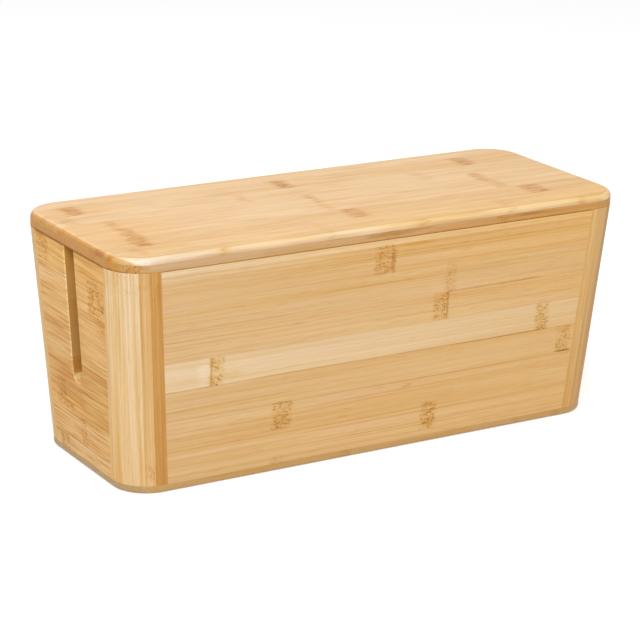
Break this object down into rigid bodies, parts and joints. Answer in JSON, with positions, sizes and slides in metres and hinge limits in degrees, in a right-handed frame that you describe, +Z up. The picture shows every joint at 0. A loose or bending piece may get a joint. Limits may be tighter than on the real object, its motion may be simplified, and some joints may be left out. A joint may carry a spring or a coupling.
{
  "type": "cable management box",
  "caption": "Long bamboo box with leaning strip-glued walls, laminated round corner posts, a round-bottomed cable slot in each end and a lift-off lid.",
  "frame": {"origin": "centre of the underside of the base board", "axes": "+X along the length, towards the right end; -Y towards the front; +Z up, the way the lid lifts"},
  "size_m": [0.405, 0.16, 0.168],
  "materials": {
    "bamboo_pale": "satin lacquer on pale bamboo",
    "bamboo_honey": "satin lacquer on honey bamboo",
    "bamboo_amber": "satin lacquer on amber bamboo",
    "bamboo_brown": "satin lacquer on brown bamboo"
  },
  "bodies": {
    "carcase": {"base_board": "bamboo_brown", "front_strip_1": "bamboo_honey", "front_strip_2": "bamboo_honey", "front_strip_3": "bamboo_honey", "front_strip_4": "bamboo_amber", "front_strip_5": "bamboo_pale", "front_strip_6": "bamboo_honey", "front_strip_7": "bamboo_honey", "front_strip_8": "bamboo_honey", "front_strip_9": "bamboo_pale", "back_strip_1": "bamboo_honey", "back_strip_2": "bamboo_honey", "back_strip_3": "bamboo_honey", "back_strip_4": "bamboo_amber", "back_strip_5": "bamboo_pale", "back_strip_6": "bamboo_honey", "back_strip_7": "bamboo_honey", "back_strip_8": "bamboo_honey", "back_strip_9": "bamboo_pale", "left_end_strip_1": "bamboo_honey", "left_end_strip_2": "bamboo_honey", "left_end_strip_3": "bamboo_amber", "left_end_strip_4": "bamboo_amber", "left_end_strip_5": "bamboo_honey", "left_end_strip_6": "bamboo_honey", "left_end_strip_7": "bamboo_pale", "left_end_strip_8": "bamboo_honey", "right_end_strip_1": "bamboo_honey", "right_end_strip_2": "bamboo_honey", "right_end_strip_3": "bamboo_amber", "right_end_strip_4": "bamboo_amber", "right_end_strip_5": "bamboo_honey", "right_end_strip_6": "bamboo_honey", "right_end_strip_7": "bamboo_pale", "right_end_strip_8": "bamboo_honey", "front_left_post_outer_layer": "bamboo_pale", "front_left_post_middle_layer": "bamboo_amber", "front_left_post_inner_layer": "bamboo_brown", "front_right_post_outer_layer": "bamboo_pale", "front_right_post_middle_layer": "bamboo_amber", "front_right_post_inner_layer": "bamboo_brown", "back_left_post_outer_layer": "bamboo_pale", "back_left_post_middle_layer": "bamboo_amber", "back_left_post_inner_layer": "bamboo_brown", "back_right_post_outer_layer": "bamboo_pale", "back_right_post_middle_layer": "bamboo_amber", "back_right_post_inner_layer": "bamboo_brown"},
    "lid": {"lid_under_ply": "bamboo_brown", "lid_strip_1": "bamboo_honey", "lid_strip_2": "bamboo_honey", "lid_strip_3": "bamboo_pale", "lid_strip_4": "bamboo_pale", "lid_strip_5": "bamboo_pale", "lid_strip_6": "bamboo_pale", "lid_strip_7": "bamboo_pale", "lid_front_cleat": "bamboo_amber", "lid_back_cleat": "bamboo_amber"}
  },
  "joints": [
    {"name": "lid_lift", "type": "slide", "parent": "carcase", "child": "lid", "axis": [0, 0, 1], "range_m": [0, 0.2]}
  ]
}
